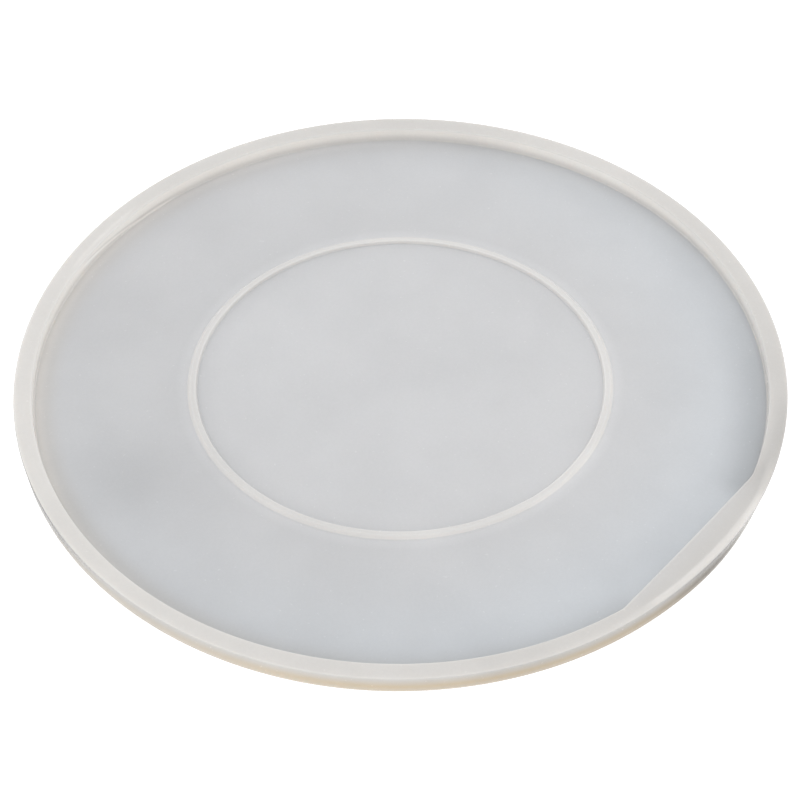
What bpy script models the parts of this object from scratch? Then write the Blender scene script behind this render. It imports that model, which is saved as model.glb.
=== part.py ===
"""A round, shallow silicone casting mould.

The mould is one soft moulding, modelled as three solids that meet along its creases: the floor
sheet, the flat-topped wall around it, and the thin ring that stands on the floor.
Metres, +Z up. The origin is the centre of the underside.
"""

import math

import bpy
from mathutils import Vector

# The cavity, which gives the casting its size
CAVITY_DIAMETER = 0.300  # inside the wall, at floor level
CAVITY_DEPTH = 0.0064  # from the floor to the top of the wall

# The floor sheet
FLOOR_THICKNESS = 0.0030

# The wall
WALL_WIDTH = 0.0078  # across its flat top, with its rounded edges
INSIDE_DRAFT = 0.0002  # how much the inside face opens out towards the top
OUTSIDE_DRAFT = 0.0012  # how much the outside face leans in towards the base
TOP_EDGE_RADIUS = 0.0005
FOOT_EDGE_RADIUS = 0.0009

# The ring on the floor
RING_DIAMETER = 0.170  # along the middle of its top
RING_WIDTH = 0.0040  # at its foot
RING_HEIGHT = 0.0020  # above the floor
RING_DRAFT = 0.0003  # how much each side leans in towards the top
RING_EDGE_RADIUS = 0.0006

# Meshes that touch keep this much air between them
SEAM_GAP = 0.0003

# How finely round shapes are drawn
TURN_STEPS = 160
CORNER_STEPS = 4

WALL_HEIGHT = FLOOR_THICKNESS + CAVITY_DEPTH
CAVITY_RADIUS = CAVITY_DIAMETER / 2

# Base colours, linear: thick silicone is a warm milky white, and the thin sheet is cooler and greyer
WARM_WHITE = (0.75, 0.72, 0.69)
COOL_WHITE = (0.61, 0.61, 0.63)


def clear_scene():
    for item in list(bpy.data.objects):
        bpy.data.objects.remove(item, do_unlink=True)


def new_collection(name):
    collection = bpy.data.collections.new(name)
    bpy.context.scene.collection.children.link(collection)
    return collection


def silicone(name, colour, roughness):
    material = bpy.data.materials.new(name)
    material.use_nodes = True
    shader = material.node_tree.nodes["Principled BSDF"]
    shader.inputs["Base Color"].default_value = (*colour, 1.0)
    shader.inputs["Roughness"].default_value = roughness
    shader.inputs["Metallic"].default_value = 0.0
    shader.inputs["IOR"].default_value = 1.41
    shader.inputs["Subsurface Weight"].default_value = 0.4
    shader.inputs["Subsurface Scale"].default_value = 0.004
    return material


def rounded(corners):
    """The points of a closed outline of (radius, height) corners, each rounded by its own third value."""
    points = []
    for index, (across, up, rounding) in enumerate(corners):
        corner = Vector((across, up))
        if rounding == 0:
            points.append(corner)
            continue
        back = (Vector(corners[index - 1][:2]) - corner).normalized()
        ahead = (Vector(corners[(index + 1) % len(corners)][:2]) - corner).normalized()
        half_angle = back.angle(ahead) / 2
        centre = corner + (back + ahead).normalized() * rounding / math.sin(half_angle)
        reach = rounding / math.tan(half_angle)
        first_spoke = corner + back * reach - centre
        last_spoke = corner + ahead * reach - centre
        for step in range(CORNER_STEPS + 1):
            direction = first_spoke.slerp(last_spoke, step / CORNER_STEPS)  # one unit long
            points.append(centre + direction * rounding)
    return points


def turned(name, outline, closed, material, collection):
    """A solid of revolution about Z. The outline runs down its outer side, top to bottom."""
    mesh = bpy.data.meshes.new(name)
    edges = [(index, index + 1) for index in range(len(outline) - 1)]
    if closed:
        edges.append((len(outline) - 1, 0))
    mesh.from_pydata([(across, 0.0, up) for across, up in outline], edges, [])
    mesh.materials.append(material)
    solid = bpy.data.objects.new(name, mesh)
    collection.objects.link(solid)

    screw = solid.modifiers.new("turn", "SCREW")
    screw.axis = "Z"
    screw.angle = math.tau
    screw.steps = TURN_STEPS
    screw.render_steps = TURN_STEPS
    screw.use_merge_vertices = True
    screw.merge_threshold = 0.000001
    screw.use_smooth_shade = True

    normals = solid.modifiers.new("even_shading", "WEIGHTED_NORMAL")
    normals.keep_sharp = True
    return solid


def make_floor(collection):
    """The sheet that the casting lies on. It ends a seam gap short of the wall."""
    edge = CAVITY_RADIUS - SEAM_GAP
    outline = [(0.0, FLOOR_THICKNESS), (edge, FLOOR_THICKNESS), (edge, 0.0), (0.0, 0.0)]
    material = silicone("thin_silicone", COOL_WHITE, 0.32)
    return turned("floor_sheet", outline, False, material, collection)


def make_wall(collection):
    """The wall around the floor: a flat top between two rounded edges, and a foot level with the underside."""
    outer_edge = CAVITY_RADIUS + WALL_WIDTH
    outline = rounded(
        [
            (CAVITY_RADIUS, 0.0, 0.0),
            (CAVITY_RADIUS, FLOOR_THICKNESS, 0.0),
            (CAVITY_RADIUS + INSIDE_DRAFT, WALL_HEIGHT, TOP_EDGE_RADIUS),
            (outer_edge, WALL_HEIGHT, TOP_EDGE_RADIUS),
            (outer_edge - OUTSIDE_DRAFT, 0.0, FOOT_EDGE_RADIUS),
        ]
    )
    material = silicone("wall_silicone", WARM_WHITE, 0.42)
    return turned("outer_wall", outline, True, material, collection)


def make_ring(collection):
    """The thin ring that presses a groove into the casting. It stands a seam gap above the floor."""
    middle = RING_DIAMETER / 2
    foot_half = RING_WIDTH / 2
    top_half = foot_half - RING_DRAFT
    top = RING_HEIGHT - SEAM_GAP
    outline = rounded(
        [
            (middle - foot_half, 0.0, 0.0),
            (middle - top_half, top, RING_EDGE_RADIUS),
            (middle + top_half, top, RING_EDGE_RADIUS),
            (middle + foot_half, 0.0, 0.0),
        ]
    )
    material = silicone("ring_silicone", WARM_WHITE, 0.38)
    ring = turned("floor_ring", outline, True, material, collection)
    ring.location.z = FLOOR_THICKNESS + SEAM_GAP
    return ring


def build():
    clear_scene()
    mould = new_collection("round_casting_mould")
    origin = bpy.data.objects.new("underside_centre", None)
    mould.objects.link(origin)
    for solid in (make_floor(mould), make_wall(mould), make_ring(mould)):
        solid.parent = origin


build()
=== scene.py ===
"""The finished look of the round casting mould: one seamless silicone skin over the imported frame,
on a pale floor, in soft studio light. Metres, +Z up, in the frame's own coordinates.

An azimuth is a compass angle about the Z axis, in radians, counted from +X. The front is at -Y.
"""

import math

import bpy
import numpy as np
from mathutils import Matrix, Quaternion, Vector, noise


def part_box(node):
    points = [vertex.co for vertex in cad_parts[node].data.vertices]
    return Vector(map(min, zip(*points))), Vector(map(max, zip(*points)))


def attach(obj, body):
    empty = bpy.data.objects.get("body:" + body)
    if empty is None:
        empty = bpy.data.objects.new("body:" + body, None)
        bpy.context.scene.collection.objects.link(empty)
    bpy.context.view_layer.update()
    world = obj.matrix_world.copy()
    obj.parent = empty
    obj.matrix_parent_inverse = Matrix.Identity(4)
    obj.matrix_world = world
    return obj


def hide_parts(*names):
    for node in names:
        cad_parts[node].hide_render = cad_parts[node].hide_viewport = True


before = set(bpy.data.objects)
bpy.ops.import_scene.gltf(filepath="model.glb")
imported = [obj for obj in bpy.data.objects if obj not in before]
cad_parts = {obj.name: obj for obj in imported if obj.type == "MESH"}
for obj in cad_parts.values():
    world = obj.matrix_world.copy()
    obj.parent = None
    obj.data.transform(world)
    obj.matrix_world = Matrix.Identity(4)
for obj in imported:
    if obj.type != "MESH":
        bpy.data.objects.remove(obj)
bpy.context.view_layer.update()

# ---------------------------------------------------------------- sizes read from the frame


def radial_span(node):
    """The smallest and the largest distance of a CAD node's surface from the Z axis."""
    distances = [math.hypot(v.co.x, v.co.y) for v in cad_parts[node].data.vertices]
    return min(distances), max(distances)


CAVITY_RADIUS, OUTER_RADIUS = radial_span("outer_wall")
RING_INSIDE, RING_OUTSIDE = radial_span("floor_ring")
RING_MIDDLE = (RING_INSIDE + RING_OUTSIDE) / 2
RING_HALF_WIDTH = (RING_OUTSIDE - RING_INSIDE) / 2
FLOOR_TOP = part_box("floor_sheet")[1].z
WALL_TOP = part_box("outer_wall")[1].z
RING_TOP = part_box("floor_ring")[1].z

# ---------------------------------------------------------------- fine shape of the skin

LIP_INSIDE_DRAFT = 0.0002
OUTSIDE_DRAFT = 0.0012
RING_HEIGHT_SHARE = 0.8  # of the CAD ring's height, because the soft ring's crest is rounded over
RING_HEIGHT = RING_HEIGHT_SHARE * (RING_TOP - FLOOR_TOP)
RING_INSIDE_DRAFT = 0.0005
RING_OUTSIDE_DRAFT = 0.0013  # its outer side slopes more gently
LIP_ROUNDING = 0.0005
FOOT_ROUNDING = 0.0009
CREASE_ROUNDING = 0.0007  # where the wall and the ring rise from the floor
RING_CREASE_ROUNDING = 0.0013  # on the ring's outer side
RING_ROUNDING = 0.0008
LIP_CROWN = 0.00022  # how far the middle of the wall's top stands above its edges
LIP_CROWN_FADE = 4  # the higher, the closer to the top the crown fades out down the wall

ROUNDING_STEPS = 5
LONGEST_STEP = 0.0045  # between two points of the section
EDGE_STEP = 0.0012  # the same on the floor near the wall
WALL_STEP = 0.0006  # the same on the wall
EDGE_MARGIN = 0.001  # a point this close to a part, or closer, still counts as on it
AZIMUTH_STEPS = 480

# At the front right the soft wall has slumped inwards, so that the inner edge of its top is a straight
# chord and its top falls away on both sides of a low ridge
SLUMP_AZIMUTH = math.radians(-39.4)
SLUMP_DISTANCE = 0.911 * OUTER_RADIUS  # from the Z axis to the chord
SLUMP_START = 0.86 * OUTER_RADIUS  # the floor gives way outside this
SLUMP_BLEND = 0.003  # the slump is fully at work where its edge has moved in this far
SLUMP_RIDGE = 0.9753 * OUTER_RADIUS  # at the middle of the ridge, which is straighter than the wall
SLUMP_RIDGE_AZIMUTH = math.radians(-43)
SLUMP_RIDGE_STRAIGHTNESS = 0.2
SLUMP_EDGE_AZIMUTH = math.radians(-47)  # here the outer edge of the top leans in too
SLUMP_EDGE_HALF_WIDTH = math.radians(13)
SLUMP_EDGE_SHIFT = 0.0009
SLUMP_OUTER_SLOPE = -0.118
SLUMP_INNER_SLOPE = 0.03
SLUMP_LIFT = 0.0003  # how far the ridge stands above the rest of the wall
SLUMP_TOP_START, SLUMP_TOP_FULL = 0.85, 0.95  # of the wall's height: above, its outer part follows the ridge

# A narrow strip of the wall's top leans inwards over a short stretch at the back left
LEAN_AZIMUTH = math.radians(147)
LEAN_HALF_WIDTH = math.radians(8.5)
LEAN_FADE = 0.15  # of the half width, on both sides of each end
LEAN_RADIUS = 0.970 * OUTER_RADIUS  # the lean starts inside this
LEAN_WIDTH = 0.0017
LEAN_SLOPE = 0.215

# Over two stretches the foot of the wall is tucked in under it: right of the slump and along it.
# Each has the azimuth of its middle, its half width and its depth.
TUCKS = (
    (math.radians(-22), math.radians(12), 0.0014),
    (math.radians(-47), math.radians(14), 0.0004),
)

# The ring lies a little out of round, as a soft sheet does
RING_SHIFT = 0.0012  # towards +Y
RING_SHORTENING = 0.015  # of its length along Y
RING_WIDENING = 0.004  # of its length along X
RING_REACH = 0.028  # how far beside the ring the floor moves with it

# Slow unevenness of the soft sheet
WAVE_HEIGHT = 0.00006
WAVE_LENGTH = 0.055


def rounded(corners):
    """The points of an open outline of (radius, height, rounding) corners."""
    points = []
    for index, (across, up, rounding) in enumerate(corners):
        corner = Vector((across, up))
        if rounding == 0:
            points.append(corner)
            continue
        back = (Vector(corners[index - 1][:2]) - corner).normalized()
        ahead = (Vector(corners[index + 1][:2]) - corner).normalized()
        half_angle = back.angle(ahead) / 2
        centre = corner + (back + ahead).normalized() * rounding / math.sin(half_angle)
        reach = rounding / math.tan(half_angle)
        first_spoke = corner + back * reach - centre
        last_spoke = corner + ahead * reach - centre
        for step in range(ROUNDING_STEPS + 1):
            direction = first_spoke.slerp(last_spoke, step / ROUNDING_STEPS)  # one unit long
            points.append(centre + direction * rounding)
    return points


def divided(points):
    """The same outline with points added, closer together on the wall and on the floor near it."""
    result = [points[0]]
    for start, end in zip(points, points[1:]):
        if min(start.x, end.x) > CAVITY_RADIUS - EDGE_MARGIN:
            longest = WALL_STEP
        elif min(start.x, end.x) > SLUMP_START - EDGE_MARGIN:
            longest = EDGE_STEP
        else:
            longest = LONGEST_STEP
        pieces = max(1, math.ceil((end - start).length / longest))
        result.extend(start.lerp(end, piece / pieces) for piece in range(1, pieces + 1))
    return result


def section():
    """The skin's section as rows of (radius, height), from the middle of its top round to the underside's."""
    outline = rounded(
        [
            (0.0, FLOOR_TOP, 0.0),
            (RING_INSIDE, FLOOR_TOP, CREASE_ROUNDING),
            (RING_INSIDE + RING_INSIDE_DRAFT, FLOOR_TOP + RING_HEIGHT, RING_ROUNDING),
            (RING_OUTSIDE - RING_OUTSIDE_DRAFT, FLOOR_TOP + RING_HEIGHT, RING_ROUNDING),
            (RING_OUTSIDE, FLOOR_TOP, RING_CREASE_ROUNDING),
            (SLUMP_START, FLOOR_TOP, 0.0),
            (CAVITY_RADIUS, FLOOR_TOP, CREASE_ROUNDING),
            (CAVITY_RADIUS + LIP_INSIDE_DRAFT, WALL_TOP, LIP_ROUNDING),
            (OUTER_RADIUS, WALL_TOP, LIP_ROUNDING),
            (OUTER_RADIUS - OUTSIDE_DRAFT, 0.0, FOOT_ROUNDING),
            (0.0, 0.0, 0.0),
        ]
    )
    return np.array([(p.x, p.y) for p in divided(outline)])


def smooth(low, high, value):
    """0 at low, 1 at high, and an S-curve in between. Low may be the larger one."""
    t = np.clip((value - low) / (high - low), 0, 1)
    return t * t * (3 - 2 * t)


def turned_from(azimuth, centre):
    """The azimuth measured from another, between minus and plus half a turn."""
    return (azimuth - centre + math.pi) % math.tau - math.pi


def around(azimuth, centre, half_width):
    """1 at one azimuth, falling off smoothly on both sides of it."""
    return np.exp(-((turned_from(azimuth, centre) / half_width) ** 2))


def stretch(azimuth, centre, full, end):
    """1 on the stretch up to the angle full on both sides of its centre, fading to 0 at the angle end."""
    return smooth(end, full, np.abs(turned_from(azimuth, centre)))


def towards(azimuth, centre):
    """1 at one azimuth and 0 opposite it, following the cosine."""
    return (1 + np.cos(azimuth - centre)) / 2


def up_the_wall(height):
    """How far up the wall's inner face a height is: 0 at the floor and 1 at the top."""
    return (height - FLOOR_TOP) / (WALL_TOP - FLOOR_TOP)


def slumped_edge(azimuth):
    """How far from the Z axis the wall's inner edge is, and how much of the slump is at work there."""
    chord = SLUMP_DISTANCE / np.clip(np.cos(azimuth - SLUMP_AZIMUTH), 0.5, 1)
    edge = np.minimum(chord, CAVITY_RADIUS)
    return edge, smooth(0.0, SLUMP_BLEND, CAVITY_RADIUS - edge)


def crowned(radius, azimuth, height):
    """Lowers the edges of the wall's flat top a little, except along the slump."""
    middle = (CAVITY_RADIUS + OUTER_RADIUS) / 2
    half_width = (OUTER_RADIUS - CAVITY_RADIUS) / 2
    across = np.clip((radius - middle) / half_width, -1, 1)
    on_top = np.clip(up_the_wall(height), 0, 1) ** LIP_CROWN_FADE
    return height - LIP_CROWN * across**2 * on_top * (1 - slumped_edge(azimuth)[1])


def leaned(radius, azimuth, height):
    """Tips the inner strip of the wall's top inwards over a short stretch."""
    full, end = LEAN_HALF_WIDTH * (1 - LEAN_FADE), LEAN_HALF_WIDTH * (1 + LEAN_FADE)
    share = stretch(azimuth, LEAN_AZIMUTH, full, end)
    inside = np.clip(LEAN_RADIUS - radius, 0, LEAN_WIDTH) * (radius > CAVITY_RADIUS - EDGE_MARGIN)
    return height - LEAN_SLOPE * inside * np.clip(up_the_wall(height), 0, 1) * share


def slumped(radius, azimuth, height):
    """Moves the wall's inner edge in to the chord, and tilts its top. Gives the new radius and height,
    and how much of the slump is at work at each point."""
    edge, share = slumped_edge(azimuth)
    bend = 1 / np.clip(np.cos(azimuth - SLUMP_RIDGE_AZIMUTH), 0.9, 1) - 1
    ridge = SLUMP_RIDGE * (1 + share * SLUMP_RIDGE_STRAIGHTNESS * bend)
    on_floor = (radius - SLUMP_START) / (CAVITY_RADIUS - SLUMP_START)
    on_wall = (radius - CAVITY_RADIUS) / (SLUMP_RIDGE - CAVITY_RADIUS)
    past_ridge = (radius - SLUMP_RIDGE) / (OUTER_RADIUS - SLUMP_RIDGE)
    moved = np.where(on_floor > 0, SLUMP_START + on_floor * (edge - SLUMP_START), radius)
    moved = np.where(on_wall > 0, edge + on_wall * (ridge - edge), moved)
    on_top = smooth(SLUMP_TOP_START * WALL_TOP, SLUMP_TOP_FULL * WALL_TOP, height)
    band = radius + on_top * (ridge + past_ridge * (OUTER_RADIUS - ridge) - radius)
    lean_in = SLUMP_EDGE_SHIFT * around(azimuth, SLUMP_EDGE_AZIMUTH, SLUMP_EDGE_HALF_WIDTH)
    moved = np.where(past_ridge > 0, band - lean_in * past_ridge * np.clip(height / WALL_TOP, 0, 1), moved)
    moved = np.where(height <= 0, radius, moved)
    beyond = moved - ridge
    tilt = SLUMP_LIFT + np.where(beyond > 0, SLUMP_OUTER_SLOPE * beyond, SLUMP_INNER_SLOPE * beyond)
    return moved, height + share * tilt * np.clip(up_the_wall(height), 0, 1), share


def tucked(radius, azimuth, height):
    """Draws the foot of the wall's outer face in over two short stretches."""
    down = np.clip(1 - height / WALL_TOP, 0, 1) * (radius > SLUMP_RIDGE)
    return radius - down * sum(depth * around(azimuth, middle, half) for middle, half, depth in TUCKS)


def out_of_round(radius, x, y):
    """Moves the ring, and the floor beside it, a little out of round."""
    share = smooth(RING_REACH, RING_HALF_WIDTH, np.abs(radius - RING_MIDDLE))
    return x + share * RING_WIDENING * x, y + share * (RING_SHIFT - RING_SHORTENING * y)


def waves(x, y):
    """Slow, shallow unevenness of the sheet at each point."""
    return np.array([WAVE_HEIGHT * noise.noise(Vector((a, b, 0.0)) / WAVE_LENGTH) for a, b in zip(x, y)])


def make_skin():
    """The closed skin: the section turned about Z, given its slump and unevenness, and painted."""
    outline = section()
    points = len(outline) - 2
    radius, height = (np.tile(column, AZIMUTH_STEPS) for column in outline[1:-1].T)
    azimuth = np.repeat(np.arange(AZIMUTH_STEPS) * math.tau / AZIMUTH_STEPS, points)
    z = leaned(radius, azimuth, crowned(radius, azimuth, height))
    moved, z, slump = slumped(radius, azimuth, z)
    moved = tucked(moved, azimuth, height)
    x, y = out_of_round(radius * (height > 0), moved * np.cos(azimuth), moved * np.sin(azimuth))
    z = z + waves(x, y) * (height > FLOOR_TOP / 2)  # the underside stays flat

    vertices = np.column_stack([x, y, z]).tolist()
    top_middle = len(vertices)
    vertices.append((0.0, 0.0, float(outline[0][1])))
    vertices.append((0.0, 0.0, 0.0))
    faces = []
    for turn in range(AZIMUTH_STEPS):
        here = turn * points
        there = (turn + 1) % AZIMUTH_STEPS * points
        faces.append((top_middle, here, there))
        faces.extend((here + i, here + i + 1, there + i + 1, there + i) for i in range(points - 1))
        faces.append((top_middle + 1, there + points - 1, here + points - 1))

    mesh = bpy.data.meshes.new("silicone_skin")
    mesh.from_pydata(vertices, [], faces)
    mesh.shade_smooth()
    skin = bpy.data.objects.new("silicone_skin", mesh)
    bpy.context.scene.collection.objects.link(skin)
    paint(mesh, radius, azimuth, height, x, y, slump)
    return skin


# ---------------------------------------------------------------- tones over the skin, mostly painted light and shade
#
# Tones multiply the silicone's colour, and most of them are painted light and shade. A gain is added to a
# tone, a loss taken off it, and a reach is how far from an edge it is felt.

LEFT_AZIMUTH = math.radians(190)
LEFT_HALF_WIDTH = math.radians(32)
WALL_BLEND = 0.0008  # over this, inside the wall's inner face, the floor's tone gives way to the wall's

# Painted light and shade on the wall's top: palest at the left, a little paler at the back right, darkest
# low on the right
LIP_LEFT_GAIN = 0.13
LIP_BACK_GAIN = 0.10
LIP_BACK_AZIMUTH = math.radians(45)
LIP_BACK_HALF_WIDTH = math.radians(32)
LIP_RIGHT_LOSS = 0.02
LIP_DARK_LOSS = 0.21  # towards its outer edge
LIP_DARK_AZIMUTH = math.radians(-14)
LIP_DARK_HALF_WIDTH = math.radians(9)
LIP_NOTCH_LOSS = 0.09  # on its inner half, where the slump begins
LIP_NOTCH_AZIMUTH = math.radians(-22)
LIP_NOTCH_HALF_WIDTH = math.radians(4)
LIP_NOTCH_START = 0.984 * OUTER_RADIUS
LIP_NOTCH_FULL = 0.974 * OUTER_RADIUS

# Painted light and shade along the slump: painted shade on the top inside the ridge, and a painted
# highlight on the band outside it, palest at its right end
LIP_SLUMP_LOSS = 0.05
BAND_GAIN = 0.09
BAND_AZIMUTH = math.radians(-30)
BAND_HALF_WIDTH = math.radians(6)
BAND_START = 0.980 * OUTER_RADIUS
BAND_FULL = 0.985 * OUTER_RADIUS

# The floor: paler inside the ring, with painted light towards the back right and painted shade near the
# wall and near the slump
DISC_GAIN = 0.055
DISC_BLEND = 0.012
FLOOR_GAIN = 0.035
FLOOR_GAIN_AZIMUTH = math.radians(15)
FLOOR_GAIN_SHIFT = 0.5  # of the gain, all the way round
EDGE_LOSS = 0.07  # close to the wall, all round but at the left
EDGE_REACH = 0.022
EDGE_LEFT_RELIEF = 1.4
FRONT_LOSS = 0.10
FRONT_REACH = 0.012
FRONT_AZIMUTH = math.radians(-95)
FRONT_FULL, FRONT_END = math.radians(50), math.radians(100)
RIGHT_LOSS = 0.16
RIGHT_REACH = 0.022
RIGHT_FULL = 0.004  # the loss is complete this close to the wall
RIGHT_AZIMUTH = math.radians(-11)
RIGHT_HALF_WIDTH = math.radians(26)
SLUMP_FLOOR_LOSS = 0.035
SLUMP_FLOOR_START = 0.76 * OUTER_RADIUS
# A soft darker patch on the floor at the front left
DARK_PATCH_CENTRE = (-0.104, -0.050)
DARK_PATCH_SIZE = 0.024
DARK_PATCH_LOSS = 0.09

# Painted light: the floor is paler at the foot of the wall, at the back left
FLOOR_EDGE_GAIN = 0.13
FLOOR_EDGE_REACH = 0.006
FLOOR_EDGE_FULL = 0.001  # the glow is complete this close to the wall
FLOOR_EDGE_AZIMUTH = math.radians(160)
FLOOR_EDGE_FULL_ANGLE, FLOOR_EDGE_END_ANGLE = math.radians(55), math.radians(85)

# Painted light: the steep faces, the ring and the floor at its foot are made paler, standing in for light
# that comes through them
INNER_FACE_GAIN = 0.40
INNER_FOOT_GAIN = 0.12
INNER_FULL_SHARE = 0.65  # of the way up, where the gain is complete
INNER_FACE_FULL, INNER_FACE_END = 0.0003, 0.0009  # outside the inner edge of the wall
INNER_TOP_BLEND = 0.0008
RING_GAIN = 0.08
RING_RISE = 0.0004  # above the floor, the ring's tone is complete
RING_SIDE_GAIN = 0.26
RING_SIDE_START, RING_SIDE_FULL = 0.0016, 0.0008  # inside the foot of its outer side
RING_INNER_SIDE_GAIN = 0.16
RING_INNER_SIDE_START, RING_INNER_SIDE_FULL = 0.0012, 0.0006  # and of its inner side
RING_FOOT_GAIN = 0.10
RING_FOOT_REACH = 0.0020

# The outer face: painted shade, greyer than the top and dark where it is out of the light. Heights are
# shares of the wall's height.
OUTER_FACE_START, OUTER_FACE_FULL = 0.0016, 0.0006  # inside the outer edge of the wall
OUTER_FACE_LOSS = 0.15
OUTER_FACE_TOP_LOSS = 0.03
OUTER_FACE_TOP_START, OUTER_FACE_TOP_FULL = 0.4, 0.8
OUTER_FACE_LEFT_LOSS = 0.22
OUTER_FACE_LEFT = math.radians(-143)
OUTER_FACE_LEFT_HALF_WIDTH = math.radians(22)
OUTER_FACE_RIGHT_LOSS = 0.11
OUTER_FACE_RIGHT = math.radians(-65)
OUTER_FACE_RIGHT_HALF_WIDTH = math.radians(18)
OUTER_FACE_LARGEST_LOSS = 0.92
OUTER_FACE_LIMIT = 0.96  # the losses fade out above this
SHADE_RIGHT = math.radians(-37)
SHADE_RIGHT_HALF_WIDTH = math.radians(14)
SHADE_RIGHT_LOSS = 0.80
SHADE_RIGHT_TOP_SHARE = 0.45  # of that loss, high on the face
SHADE_RIGHT_LOW, SHADE_RIGHT_HIGH = 0.15, 0.95
SHADE_LEFT = math.radians(-158)
SHADE_LEFT_HALF_WIDTH = math.radians(12)
SHADE_LEFT_LOSS = 0.62
SHADE_LEFT_FOOT_SHARE = 0.65  # of that loss, at the foot
SHADE_LEFT_LOW, SHADE_LEFT_HIGH = 0.1, 0.5

# A painted highlight, a fine pale line, with a painted shade line above it climbs the wall's inner face at
# the back left
FOLD_START = math.radians(138)
FOLD_MIDDLE = math.radians(142)
FOLD_FULL, FOLD_END = math.radians(8), math.radians(13)
FOLD_SLOPE = 0.00022 / math.radians(1)  # metres up for each radian round
FOLD_FOOT = 0.0003  # above the floor
FOLD_SPREAD = 0.0005
FOLD_DARK_RISE = 2.3 * FOLD_SPREAD  # from the pale line to the dark one
FOLD_DEPTH = 0.0006  # the lines are on surfaces this close to the wall's inner edge
FOLD_HIGHLIGHT_GAIN = 0.15
FOLD_SHADE_LOSS = 0.12

# Warmth and coolness
FOOT_WARM_LOW, FOOT_WARM_HIGH = 0.3, 0.98  # shares of the wall's height, warmest below the first
FOOT_WARM_AZIMUTH = math.radians(-72)
FOOT_WARM_FULL, FOOT_WARM_END = math.radians(20), math.radians(62)
FOOT_WARM_REST = 0.5  # the share left all the way round
LEFT_WARMTH = 0.2  # on the floor, near the left of the wall
LEFT_WARM_REACH = 0.012
COOL_AZIMUTH = math.radians(-40)  # the floor is coolest on this side

# How thick the silicone looks, from 0 on the floor to 1 on the wall
RING_THICKNESS = 0.65
SLUMP_THINNING = 0.35


def lip_painted_light(radius, azimuth, slump):
    """The painted light and shade of the wall's top."""
    left = towards(azimuth, LEFT_AZIMUTH) ** 2
    right = towards(azimuth, 0.0) ** 2
    painted_shade = around(azimuth, LIP_DARK_AZIMUTH, LIP_DARK_HALF_WIDTH)
    painted_shade = painted_shade * smooth(CAVITY_RADIUS, OUTER_RADIUS, radius)
    back = around(azimuth, LIP_BACK_AZIMUTH, LIP_BACK_HALF_WIDTH)
    notch = around(azimuth, LIP_NOTCH_AZIMUTH, LIP_NOTCH_HALF_WIDTH)
    notch = notch * smooth(LIP_NOTCH_START, LIP_NOTCH_FULL, radius)
    # Painted light at the left and the back right, painted shade on the right
    painted_light_and_tone = 1 + LIP_LEFT_GAIN * left + LIP_BACK_GAIN * back
    painted_light_and_tone = painted_light_and_tone - LIP_RIGHT_LOSS * right - LIP_DARK_LOSS * painted_shade - LIP_NOTCH_LOSS * notch
    # Painted highlight on the band outside the ridge, and painted shade inside it, along the slump
    band = around(azimuth, BAND_AZIMUTH, BAND_HALF_WIDTH) * smooth(BAND_START, BAND_FULL, radius)
    inside_ridge = smooth(CAVITY_RADIUS, SLUMP_RIDGE, radius) * (radius < SLUMP_RIDGE)
    return painted_light_and_tone * (1 + BAND_GAIN * band * slump) * (1 - LIP_SLUMP_LOSS * inside_ridge * slump)


def inner_face_painted_light(radius, height):
    """The painted light of the wall's inner face, stronger higher up."""
    on_face = smooth(CAVITY_RADIUS - WALL_BLEND, CAVITY_RADIUS, radius)
    on_face = on_face * smooth(CAVITY_RADIUS + INNER_FACE_END, CAVITY_RADIUS + INNER_FACE_FULL, radius)
    on_face = on_face * smooth(WALL_TOP, WALL_TOP - INNER_TOP_BLEND, height)
    rise = smooth(0.0, INNER_FULL_SHARE, up_the_wall(height))
    return (INNER_FOOT_GAIN + (INNER_FACE_GAIN - INNER_FOOT_GAIN) * rise) * on_face


def outer_face_painted_shade(azimuth, height):
    """How much painted shade makes the outer face darker than the wall's top."""
    level = height / WALL_TOP
    right = SHADE_RIGHT_LOSS * around(azimuth, SHADE_RIGHT, SHADE_RIGHT_HALF_WIDTH)
    right = right * (1 - (1 - SHADE_RIGHT_TOP_SHARE) * smooth(SHADE_RIGHT_LOW, SHADE_RIGHT_HIGH, level))
    left = SHADE_LEFT_LOSS * around(azimuth, SHADE_LEFT, SHADE_LEFT_HALF_WIDTH)
    left_rise = smooth(SHADE_LEFT_LOW, SHADE_LEFT_HIGH, level)
    left = left * (SHADE_LEFT_FOOT_SHARE + (1 - SHADE_LEFT_FOOT_SHARE) * left_rise)
    loss = OUTER_FACE_LOSS + OUTER_FACE_TOP_LOSS * smooth(OUTER_FACE_TOP_START, OUTER_FACE_TOP_FULL, level)
    loss = loss + OUTER_FACE_LEFT_LOSS * around(azimuth, OUTER_FACE_LEFT, OUTER_FACE_LEFT_HALF_WIDTH)
    loss = loss + OUTER_FACE_RIGHT_LOSS * around(azimuth, OUTER_FACE_RIGHT, OUTER_FACE_RIGHT_HALF_WIDTH)
    return np.clip(loss + right + left, 0, OUTER_FACE_LARGEST_LOSS) * smooth(1.0, OUTER_FACE_LIMIT, level)


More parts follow.
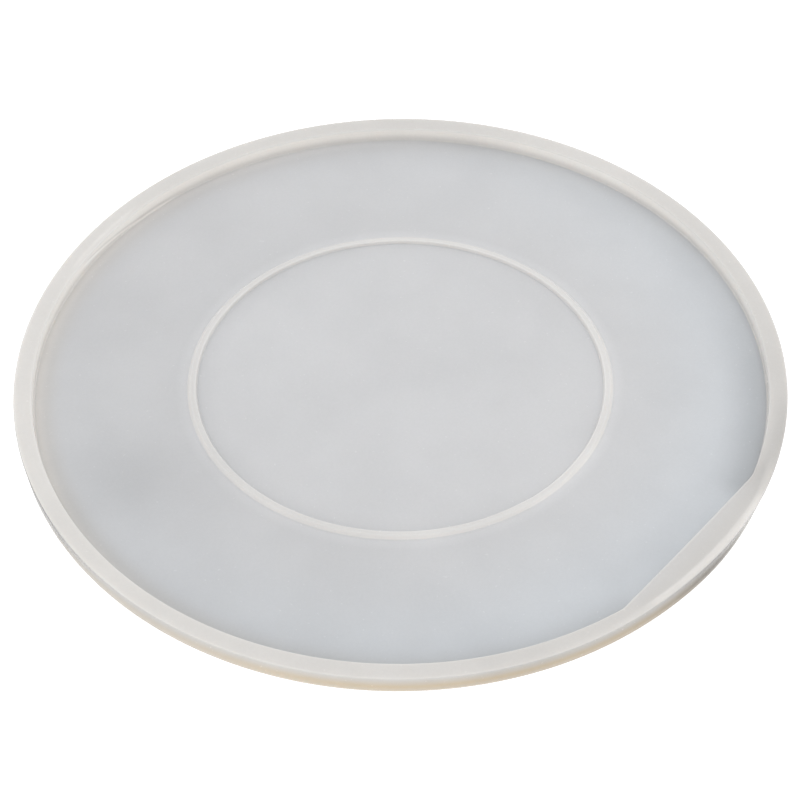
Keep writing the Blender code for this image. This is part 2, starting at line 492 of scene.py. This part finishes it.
def floor_shade_and_tone(radius, azimuth, x, y, slump):
    """The tone of the floor, without the ring: mostly painted light and shade, with a darker patch."""
    front = stretch(azimuth, FRONT_AZIMUTH, FRONT_FULL, FRONT_END)
    front = front * smooth(CAVITY_RADIUS - FRONT_REACH, CAVITY_RADIUS, radius)
    right = around(azimuth, RIGHT_AZIMUTH, RIGHT_HALF_WIDTH)
    right = right * smooth(CAVITY_RADIUS - RIGHT_REACH, CAVITY_RADIUS - RIGHT_FULL, radius)
    edge = 1 - EDGE_LEFT_RELIEF * around(azimuth, LEFT_AZIMUTH, LEFT_HALF_WIDTH)
    edge = edge * smooth(CAVITY_RADIUS - EDGE_REACH, CAVITY_RADIUS, radius)
    # Painted shade near the wall and near the slump
    near_wall = FRONT_LOSS * front + RIGHT_LOSS * right + EDGE_LOSS * edge
    near_slump = SLUMP_FLOOR_LOSS * smooth(SLUMP_FLOOR_START, SLUMP_START, radius)
    # A soft darker patch
    dark_patch = np.exp(-((x - DARK_PATCH_CENTRE[0]) ** 2 + (y - DARK_PATCH_CENTRE[1]) ** 2) / DARK_PATCH_SIZE**2)
    painted_light_and_tone = 1 - DARK_PATCH_LOSS * dark_patch - near_wall * (1 - slump) - near_slump * slump

    # Painted light at the foot of the wall, at the back left
    painted_glow = smooth(CAVITY_RADIUS - FLOOR_EDGE_REACH, CAVITY_RADIUS - FLOOR_EDGE_FULL, radius)
    painted_glow = painted_glow * stretch(azimuth, FLOOR_EDGE_AZIMUTH, FLOOR_EDGE_FULL_ANGLE, FLOOR_EDGE_END_ANGLE)
    outside_ring = smooth(RING_MIDDLE - DISC_BLEND, RING_MIDDLE, radius)
    # Painted light towards the back right
    slope = outside_ring * (FLOOR_GAIN_SHIFT + np.cos(azimuth - FLOOR_GAIN_AZIMUTH))
    return painted_light_and_tone + FLOOR_EDGE_GAIN * painted_glow + DISC_GAIN * (1 - outside_ring) + FLOOR_GAIN * slope


def on_the_ring(radius, height):
    """1 on the ring and 0 elsewhere."""
    across = np.abs(radius - RING_MIDDLE) < RING_HALF_WIDTH + EDGE_MARGIN
    return across * smooth(FLOOR_TOP, FLOOR_TOP + RING_RISE, height)


def ring_painted_light(radius, on_ring):
    """The painted light of the ring, of its two sides, and of the floor at its foot."""
    outside = radius - RING_MIDDLE
    side = smooth(RING_HALF_WIDTH - RING_SIDE_START, RING_HALF_WIDTH - RING_SIDE_FULL, outside)
    inner_start = RING_HALF_WIDTH - RING_INNER_SIDE_START
    inner_side = smooth(inner_start, RING_HALF_WIDTH - RING_INNER_SIDE_FULL, -outside)
    gain = RING_GAIN + (RING_SIDE_GAIN - RING_GAIN) * side + (RING_INNER_SIDE_GAIN - RING_GAIN) * inner_side
    foot = smooth(RING_FOOT_REACH, 0.0, np.abs(radius - RING_OUTSIDE)) * (1 - on_ring)
    return gain * on_ring + RING_FOOT_GAIN * foot


def fold_painted_light(radius, azimuth, height):
    """The painted highlight line and the painted shade line on the wall's inner face."""
    above = height - FLOOR_TOP - FOLD_FOOT - FOLD_SLOPE * np.clip(azimuth - FOLD_START, 0, None)
    painted_highlight = np.exp(-((above / FOLD_SPREAD) ** 2))
    painted_shade = np.exp(-(((above - FOLD_DARK_RISE) / FOLD_SPREAD) ** 2))
    on_face = np.abs(radius - CAVITY_RADIUS) < FOLD_DEPTH
    share = stretch(azimuth, FOLD_MIDDLE, FOLD_FULL, FOLD_END) * on_face
    return (FOLD_HIGHLIGHT_GAIN * painted_highlight - FOLD_SHADE_LOSS * painted_shade) * share


def paint(mesh, radius, azimuth, height, x, y, slump):
    """Stores the looks that change slowly over the skin, painted light and shade among them, as attributes of
    its points.
    """
    wall = smooth(CAVITY_RADIUS - WALL_BLEND, CAVITY_RADIUS, radius)
    on_ring = on_the_ring(radius, height)
    outer_face = smooth(OUTER_RADIUS - OUTER_FACE_START, OUTER_RADIUS - OUTER_FACE_FULL, radius)

    # Painted light on the wall's inner face and painted shade on its outer face
    lip = lip_painted_light(radius, azimuth, slump) * (1 + inner_face_painted_light(radius, height))
    lip = lip * (1 - outer_face_painted_shade(azimuth, height) * outer_face)
    # Painted light on the ring and at its foot
    floor = floor_shade_and_tone(radius, azimuth, x, y, slump) * (1 + ring_painted_light(radius, on_ring))
    painted_light_and_tone = (floor + (lip - floor) * wall) * (1 + fold_painted_light(radius, azimuth, height))

    foot = smooth(FOOT_WARM_HIGH * WALL_TOP, FOOT_WARM_LOW * WALL_TOP, height) * outer_face
    front = stretch(azimuth, FOOT_WARM_AZIMUTH, FOOT_WARM_FULL, FOOT_WARM_END)
    foot = foot * (FOOT_WARM_REST + (1 - FOOT_WARM_REST) * front)
    left = towards(azimuth, LEFT_AZIMUTH) ** 2 * (1 - wall)
    left = left * smooth(CAVITY_RADIUS - LEFT_WARM_REACH, CAVITY_RADIUS, radius)
    warmth = np.clip(foot + LEFT_WARMTH * left, 0, 1)
    cool = towards(azimuth, COOL_AZIMUTH) * (1 - wall) * smooth(RING_MIDDLE, CAVITY_RADIUS, radius)
    slack = slump * smooth(SLUMP_RIDGE, CAVITY_RADIUS, radius) * wall
    thickness = np.maximum(wall - SLUMP_THINNING * slack, RING_THICKNESS * on_ring)

    # Each attribute's values, and its value at the two middle points, which come last in the mesh
    looks = {
        "thickness": (thickness, 0.0),
        "painted_light_and_tone": (painted_light_and_tone, 1 + DISC_GAIN),
        "warmth": (warmth, 0.0),
        "coolness": (cool, 0.0),
    }
    for name, (values, middle) in looks.items():
        attribute = mesh.attributes.new(name, "FLOAT", "POINT")
        attribute.data.foreach_set("value", np.append(values, [middle, middle]).astype(np.float32))


# ---------------------------------------------------------------- silicone

THIN_COLOUR = (0.562, 0.555, 0.550)
COOL_COLOUR = (0.545, 0.560, 0.572)
THICK_COLOUR = (0.606, 0.581, 0.548)
TAN_COLOUR = (0.600, 0.490, 0.340)
DUST_COLOUR = (0.78, 0.77, 0.75)

# The size of the lumps of each noise
CLOUD_SIZE = 0.045
GRAIN_SIZE = 0.0011
SPECK_SIZE = 0.0016
SMEAR_SIZE = 0.016
SMEAR_STRETCH = (1.0, 0.45, 1.0)
RIPPLE_SIZE = 0.014
PEEL_SIZE = 0.0012

CLOUD_TONES = (0.975, 1.02)
GRAIN_TONES = (0.988, 1.012)
SPECK_START, SPECK_FULL = 0.735, 0.77  # of the noise, so that specks are few
SPECK_SHARE = 0.04  # of dust in the colour of a speck
SPECK_ROUGHNESS = 0.3
LOWEST_ROUGHNESS, HIGHEST_ROUGHNESS = 0.16, 0.27
RIPPLE_DEPTH = 0.00012
PEEL_DEPTH = 0.000012


class Graph:
    """Short names for the node calls that the material makes many times."""

    def __init__(self, material):
        material.use_nodes = True
        self.nodes = material.node_tree.nodes
        self.links = material.node_tree.links
        self.shader = self.nodes["Principled BSDF"]

    def plug(self, value, socket):
        if isinstance(value, bpy.types.NodeSocket):
            self.links.new(value, socket)
        else:
            socket.default_value = value

    def attribute(self, name):
        node = self.nodes.new("ShaderNodeAttribute")
        node.attribute_name = name
        return node.outputs["Fac"]

    def math(self, operation, first, second):
        node = self.nodes.new("ShaderNodeMath")
        node.operation = operation
        self.plug(first, node.inputs[0])
        self.plug(second, node.inputs[1])
        return node.outputs[0]

    def scaled(self, colour, factor):
        node = self.nodes.new("ShaderNodeVectorMath")
        node.operation = "SCALE"
        self.plug(colour, node.inputs[0])
        self.plug(factor, node.inputs["Scale"])
        return node.outputs["Vector"]

    def ramp(self, value, low, high, bottom=0.0, top=1.0):
        """An S-curve from bottom at low to top at high."""
        node = self.nodes.new("ShaderNodeMapRange")
        node.interpolation_type = "SMOOTHSTEP"
        self.plug(value, node.inputs["Value"])
        node.inputs["From Min"].default_value = low
        node.inputs["From Max"].default_value = high
        node.inputs["To Min"].default_value = bottom
        node.inputs["To Max"].default_value = top
        return node.outputs["Result"]

    def noise(self, size, detail, roughness=0.5, stretching=None):
        """Noise whose lumps are about the given size in metres."""
        place = self.nodes.new("ShaderNodeTexCoord").outputs["Object"]
        if stretching:
            mapping = self.nodes.new("ShaderNodeMapping")
            mapping.inputs["Scale"].default_value = stretching
            self.links.new(place, mapping.inputs["Vector"])
            place = mapping.outputs["Vector"]
        node = self.nodes.new("ShaderNodeTexNoise")
        self.links.new(place, node.inputs["Vector"])
        node.inputs["Scale"].default_value = 1 / size
        node.inputs["Detail"].default_value = detail
        node.inputs["Roughness"].default_value = roughness
        return node.outputs["Fac"]

    def mix(self, share, first, second):
        node = self.nodes.new("ShaderNodeMix")
        node.data_type = "RGBA"
        self.plug(share, node.inputs["Factor"])
        self.plug(first, node.inputs["A"])
        self.plug(second, node.inputs["B"])
        return node.outputs["Result"]

    def bump(self, height, distance, normal=None):
        node = self.nodes.new("ShaderNodeBump")
        node.inputs["Distance"].default_value = distance
        self.links.new(height, node.inputs["Height"])
        if normal is not None:
            self.links.new(normal, node.inputs["Normal"])
        return node.outputs["Normal"]


def silicone():
    """Milky silicone: clouded in its depth, finely rippled and unevenly glossy, with a little dust on it."""
    material = bpy.data.materials.new("milky_silicone")
    graph = Graph(material)
    shader = graph.shader
    thin = graph.mix(graph.attribute("coolness"), (*THIN_COLOUR, 1), (*COOL_COLOUR, 1))
    colour = graph.mix(graph.attribute("thickness"), thin, (*THICK_COLOUR, 1))
    colour = graph.mix(graph.attribute("warmth"), colour, (*TAN_COLOUR, 1))

    clouds = graph.ramp(graph.noise(CLOUD_SIZE, 3.0, 0.55), 0.3, 0.7, *CLOUD_TONES)
    grain = graph.ramp(graph.noise(GRAIN_SIZE, 2.0, 0.6), 0.25, 0.75, *GRAIN_TONES)
    # The tone attribute carries the painted light and shade
    painted_light_and_tone = graph.math("MULTIPLY", graph.attribute("painted_light_and_tone"), graph.math("MULTIPLY", clouds, grain))
    specks = graph.ramp(graph.noise(SPECK_SIZE, 1.0), SPECK_START, SPECK_FULL)
    dust = graph.math("MULTIPLY", specks, SPECK_SHARE)
    colour = graph.mix(dust, graph.scaled(colour, painted_light_and_tone), (*DUST_COLOUR, 1))
    graph.plug(colour, shader.inputs["Base Color"])

    smears = graph.noise(SMEAR_SIZE, 3.0, 0.6, SMEAR_STRETCH)
    gloss = graph.ramp(smears, 0.3, 0.75, LOWEST_ROUGHNESS, HIGHEST_ROUGHNESS)
    rough = graph.math("ADD", gloss, graph.math("MULTIPLY", specks, SPECK_ROUGHNESS))
    graph.plug(rough, shader.inputs["Roughness"])

    ripple = graph.bump(graph.noise(RIPPLE_SIZE, 2.0), RIPPLE_DEPTH)
    peel = graph.bump(graph.noise(PEEL_SIZE, 2.0, 0.6), PEEL_DEPTH, ripple)
    graph.plug(peel, shader.inputs["Normal"])

    shader.inputs["IOR"].default_value = 1.41
    shader.inputs["Subsurface Weight"].default_value = 0.6
    shader.inputs["Subsurface Radius"].default_value = (1.0, 0.95, 0.9)
    shader.inputs["Subsurface Scale"].default_value = 0.003
    return material


# ---------------------------------------------------------------- stage, light and camera

STAGE_SIZE = 16
STAGE_DROP = 0.0002  # the stage lies this far below the mould

CAMERA_DISTANCE = 7.57 * OUTER_RADIUS
CAMERA_RISE = math.radians(46.45)
CAMERA_DIP = math.radians(-0.223)  # off the line to the origin, downwards
CAMERA_TURN = math.radians(0.01)  # and to the left
CAMERA_ROLL = math.radians(-0.64)


def make_stage():
    """A large matt floor that is nearly white, partly by its own light."""
    bpy.ops.mesh.primitive_plane_add(size=STAGE_SIZE)
    stage = bpy.context.object
    stage.name = "stage_floor"
    stage.location.z = -STAGE_DROP
    material = bpy.data.materials.new("stage_white")
    material.use_nodes = True
    shader = material.node_tree.nodes["Principled BSDF"]
    shader.inputs["Base Color"].default_value = (0.9, 0.9, 0.9, 1)
    shader.inputs["Roughness"].default_value = 0.9
    shader.inputs["Specular IOR Level"].default_value = 0.0
    shader.inputs["Emission Color"].default_value = (1, 1, 1, 1)
    shader.inputs["Emission Strength"].default_value = 0.45
    stage.data.materials.append(material)


def area_light(name, azimuth, elevation, distance, width, height, power, colour=(1, 1, 1)):
    """An area light that faces the mould's middle. Its two angles are in degrees."""
    light = bpy.data.lights.new(name, "AREA")
    light.shape = "RECTANGLE"
    light.size = width
    light.size_y = height
    light.energy = power
    light.color = colour
    holder = bpy.data.objects.new(name, light)
    bpy.context.scene.collection.objects.link(holder)
    turn, rise = math.radians(azimuth), math.radians(elevation)
    away = Vector((math.cos(turn) * math.cos(rise), math.sin(turn) * math.cos(rise), math.sin(rise)))
    holder.location = away * distance
    holder.rotation_mode = "QUATERNION"
    holder.rotation_quaternion = (-away).to_track_quat("-Z", "Y")
    holder.visible_camera = False
    return holder


def make_lights():
    """A pale room, a weak light overhead, and a far window at the back that only gleams on the skin."""
    world = bpy.data.worlds.new("soft_room")
    bpy.context.scene.world = world
    world.use_nodes = True
    background = world.node_tree.nodes["Background"]
    background.inputs["Color"].default_value = (0.95, 0.97, 1.0, 1)
    background.inputs["Strength"].default_value = 1.05
    area_light("overhead", azimuth=90, elevation=85, distance=1.4, width=1.4, height=1.4, power=2.5)
    window = area_light(
        "warm_window",
        azimuth=65,
        elevation=54,
        distance=6.0,
        width=1.0,
        height=1.3,
        power=20,
        colour=(1.0, 0.95, 0.9),
    )
    window.visible_diffuse = False


def make_camera():
    """A long lens from the front, a little above 45 degrees, with a slight roll."""
    data = bpy.data.cameras.new("camera")
    data.sensor_width = 36
    data.lens = 130.75
    data.clip_end = 50
    camera = bpy.data.objects.new("camera", data)
    bpy.context.scene.collection.objects.link(camera)
    back = Vector((0, -math.cos(CAMERA_RISE), math.sin(CAMERA_RISE)))
    camera.location = back * CAMERA_DISTANCE
    aim = Quaternion((1, 0, 0), CAMERA_DIP) @ Quaternion((0, 1, 0), CAMERA_TURN)
    roll = Quaternion((0, 0, 1), CAMERA_ROLL)
    camera.rotation_mode = "QUATERNION"
    camera.rotation_quaternion = (-back).to_track_quat("-Z", "Y") @ aim @ roll
    bpy.context.scene.camera = camera


bpy.context.scene.view_settings.view_transform = "Standard"
skin = make_skin()
skin.data.materials.append(silicone())
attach(skin, "root")
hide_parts("floor_sheet", "outer_wall", "floor_ring")
make_stage()
make_lights()
make_camera()
